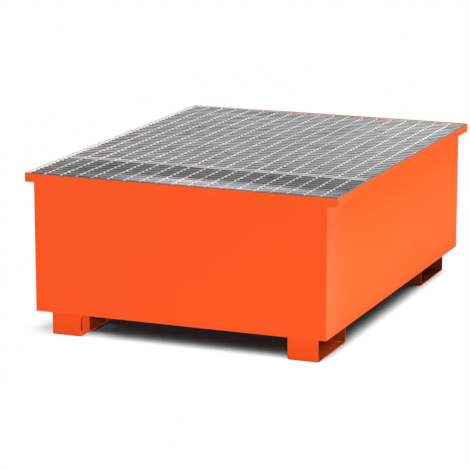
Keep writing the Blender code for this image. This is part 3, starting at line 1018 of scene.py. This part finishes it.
def make_bearing_bars(panel, low, high, bearing_y):
    """Bars across the panel; the first ones of the rear panel carry a painted highlight and stand straight.
    """
    half = BEARING_THICKNESS / 2
    highlit_end_y = bearing_y[:HIGHLIT_END_BARS] if panel == "rear_grating" else ()
    bm = bmesh.new()
    for y in bearing_y:
        sink = rng.uniform(0.0, BEARING_SINK)
        lean = 0.0 if y in (bearing_y[0], bearing_y[-1]) else rng.uniform(-BEARING_LEAN, BEARING_LEAN)
        if y not in highlit_end_y:
            add_rounded_box(bm, (low.x, y - half + lean, low.z), (high.x, y + half + lean, high.z - sink))
    add_zinc_piece(panel + "_bearing_bars", bm, panel, zinc_bearing[panel], [panel + "_bars"])
    if highlit_end_y:
        bm = bmesh.new()
        for y in highlit_end_y:
            add_rounded_box(bm, (low.x, y - half, low.z), (high.x, y + half, high.z))
        add_zinc_piece(panel + "_highlit_end_bars", bm, panel, zinc_end_bar_highlight)


def make_cross_bars(panel, top, cross_x, bearing_y):
    half = CROSS_THICKNESS / 2
    bm = bmesh.new()
    for x in cross_x:
        wander = rng.uniform(-CROSS_WANDER, CROSS_WANDER)
        add_rounded_box(bm, (x - half + wander, bearing_y[0], top - CROSS_HEIGHT),
                        (x + half + wander, bearing_y[-1], top - rng.uniform(0.0, CROSS_SINK)))
    add_zinc_piece(panel + "_cross_bars", bm, panel, zinc_cross_highlight)


def make_grating(panel):
    low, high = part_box(panel + "_bars")
    right_low, right_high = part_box(panel + "_right_band")
    band_x = (right_low.x + right_high.x) / 2
    bearing_y = even_places(low.y + BEARING_THICKNESS / 2, high.y - BEARING_THICKNESS / 2, BEARING_PITCH)
    cross_x = even_places(-band_x, band_x, CROSS_PITCH)[1:-1]
    make_bearing_bars(panel, low, high, bearing_y)
    make_cross_bars(panel, high.z - CROSS_DROP, cross_x, bearing_y)
    for hand in ("left", "right"):
        name = panel + "_" + hand + "_band"
        bm = bmesh.new()
        add_rounded_box(bm, *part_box(name), rounding=BAND_ROUNDING, steps=BAND_ROUNDING_STEPS)
        add_zinc_piece(panel + "_" + hand + "_edge_band", bm, panel, zinc_bands[hand], [name])


# Stage, light and camera

def seen_by_eye_or_gloss(tree):
    """1 for the rays that show the white studio: from the camera, a gloss or a clear pane."""
    rays = node(tree, "LightPath").outputs
    seen = larger(tree, rays["Is Camera Ray"], rays["Is Glossy Ray"])
    return larger(tree, seen, rays["Is Transmission Ray"])


def mix_shaders(tree, share, first, second):
    return node(tree, "MixShader", None, i0=share, i1=first.outputs[0], i2=second.outputs[0])


def shade_floor(tree, spot):
    """Floor colour: dark under the sump, soft along its left side, lighter beside the front left foot."""
    tilt = node(tree, "CombineXYZ", None, X=SHADE_TILT[0], Y=SHADE_TILT[1], Z=SHADE_TILT[2]).outputs[0]
    above = node(tree, "AmbientOcclusion", {"samples": SHADE_SAMPLES}, Distance=SHADE_REACH, Normal=tilt)
    shade = spread(tree, above.outputs["AO"], SHADE_OPENNESS, smooth=True)
    contact = openness(tree, CONTACT_REACH, CONTACT_SAMPLES)
    contact = spread(tree, contact, CONTACT_OPENNESS, (CONTACT_DEPTH, 0.0), smooth=True)
    contact = multiply(tree, contact, spread(tree, spot["X"], CONTACT_SIDE, FALLING))
    contact = multiply(tree, contact, spread(tree, spot["Y"], CONTACT_START))
    shade = multiply(tree, shade, inverse(tree, contact))
    gleam = spread(tree, spot["X"], GLEAM_FADE, GLEAM_LEVELS, smooth=True)
    gleam = multiply(tree, gleam, spread(tree, spot["X"], GLEAM_START))
    gleam = multiply(tree, gleam, spread(tree, spot["Y"], GLEAM_BACK, smooth=True))
    shade = spread(tree, gleam, RISING, (shade, 1.0))
    return blend_colours(tree, shade, DEEP_SHADE, WHITE)


def away_from_object(tree, position):
    """0 on the floor near the object's box, 1 further off."""
    outside = vector_node(tree, "ABSOLUTE", position)
    outside = vector_node(tree, "SUBTRACT", outside, (cad_box[1].x, cad_box[1].y, 0.0))
    outside = vector_node(tree, "MAXIMUM", outside, (0.0, 0.0, 0.0))
    return spread(tree, vector_node(tree, "LENGTH", outside), FLOOR_FADE, smooth=True)


def make_studio_floor():
    """White floor with the object's shadow, clear further off; it throws back the light of a grey one."""
    mesh = bpy.data.meshes.new("studio_floor")
    bm = bmesh.new()
    bmesh.ops.create_grid(bm, x_segments=1, y_segments=1, size=FLOOR_HALF_SIZE)
    bm.to_mesh(mesh)
    bm.free()
    floor = bpy.data.objects.new("studio_floor", mesh)
    bpy.context.scene.collection.objects.link(floor)
    material = bpy.data.materials.new("studio_floor_white")
    material.use_nodes = True
    tree = material.node_tree
    tree.nodes.clear()
    position = node(tree, "NewGeometry").outputs["Position"]
    shown = node(tree, "Emission", None, Color=shade_floor(tree, axes(tree, position)), Strength=1.0)
    plain = node(tree, "BsdfDiffuse", None, Color=FLOOR_BOUNCE)
    lit = mix_shaders(tree, seen_by_eye_or_gloss(tree), plain, shown)
    clear = node(tree, "BsdfTransparent")
    mixed = mix_shaders(tree, away_from_object(tree, position), lit, clear)
    node(tree, "OutputMaterial", None, Surface=mixed.outputs[0])
    mesh.materials.append(material)


def make_world():
    world = bpy.data.worlds.new("studio_world")
    world.use_nodes = True
    tree = world.node_tree
    tree.nodes.clear()
    sky = node(tree, "Background", None, Color=WHITE, Strength=SKY_LEVEL)
    white = node(tree, "Background", None, Color=WHITE, Strength=1.0)
    mixed = mix_shaders(tree, seen_by_eye_or_gloss(tree), sky, white)
    node(tree, "OutputWorld", None, Surface=mixed.outputs[0])
    bpy.context.scene.world = world


def add_softbox(name, place, target, size, level, spread_angle=180.0):
    """A soft lamp; at 180 degrees of spread, a white card that faces it at the target renders at the level.

    A smaller angle stands for a grid that gathers the light, so that the card gets brighter.
    """
    lamp = bpy.data.lights.new(name, "AREA")
    lamp.shape = "RECTANGLE"
    lamp.size, lamp.size_y = size
    lamp.spread = math.radians(spread_angle)
    throw = Vector(target) - Vector(place)
    lamp.energy = level * math.pi ** 2 * throw.length_squared
    obj = bpy.data.objects.new(name, lamp)
    bpy.context.scene.collection.objects.link(obj)
    obj.location = place
    obj.rotation_euler = throw.to_track_quat("-Z", "Y").to_euler()


def make_lamps():
    add_softbox("key_softbox", place=(1.0, -1.0, 5.40), target=(0.1, 0.0, 0.6),
                size=(2.6, 2.6), level=1.25)
    add_softbox("right_softbox", place=(7.4, 0.1, -1.0), target=(0.6, 0.1, 0.31),
                size=(3.6, 0.5), level=0.0105, spread_angle=7.5)
    add_softbox("front_right_softbox", place=(10.75, -14.9, 2.35), target=(-0.2, -0.8, 0.15),
                size=(5.1, 1.35), level=0.69)
    add_softbox("front_softbox", place=(-3.0, -6.8, 1.70), target=(-0.5, -0.8, 0.4),
                size=(4.0, 0.6), level=0.245)
    add_softbox("left_softbox", place=(-6.0, 0.6, 1.2), target=(-0.6, 0.0, 0.35),
                size=(4.0, 1.4), level=0.86)
    add_softbox("rear_softbox", place=(0.4, 6.0, 1.2), target=(0.0, 0.8, 0.35),
                size=(4.0, 1.4), level=0.86)
    add_softbox("low_softbox", place=(6.6, -1.75, 0.30), target=(-0.49, -0.75, 0.05),
                size=(0.9, 0.5), level=0.32)


def make_camera():
    camera = bpy.data.cameras.new("photo_camera")
    camera.sensor_width = CAMERA_SENSOR
    camera.lens = CAMERA_LENS
    camera.clip_end = CAMERA_REACH
    obj = bpy.data.objects.new("photo_camera", camera)
    bpy.context.scene.collection.objects.link(obj)
    obj.location = CAMERA_PLACE
    obj.rotation_euler = (CAMERA_TILT, 0.0, CAMERA_TURN)
    bpy.context.scene.camera = obj


make_side_wall("left_wall", -1)
make_side_wall("right_wall", 1)
for plate in ("front_plate", "rear_plate"):
    make_end_plate(plate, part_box("right_wall")[0].x + SHEET)
make_sump_floor()
for end in ("front", "rear"):
    for hand, side in (("left", -1), ("right", 1)):
        make_foot(end + "_" + hand + "_foot", side, orange_feet[end])
        make_foot_beads(end + "_" + hand + "_foot")
make_sump_beads()
make_beam()
make_bracket("beam_bracket_front", -1)
make_bracket("beam_bracket_rear", 1)
for end in ("front", "rear"):
    make_leg("beam_leg_" + end)
    make_pad("leg_pad_" + end)
make_grating("front_grating")
make_grating("rear_grating")

make_studio_floor()
make_world()
make_lamps()
make_camera()
bpy.context.scene.view_settings.view_transform = "Standard"
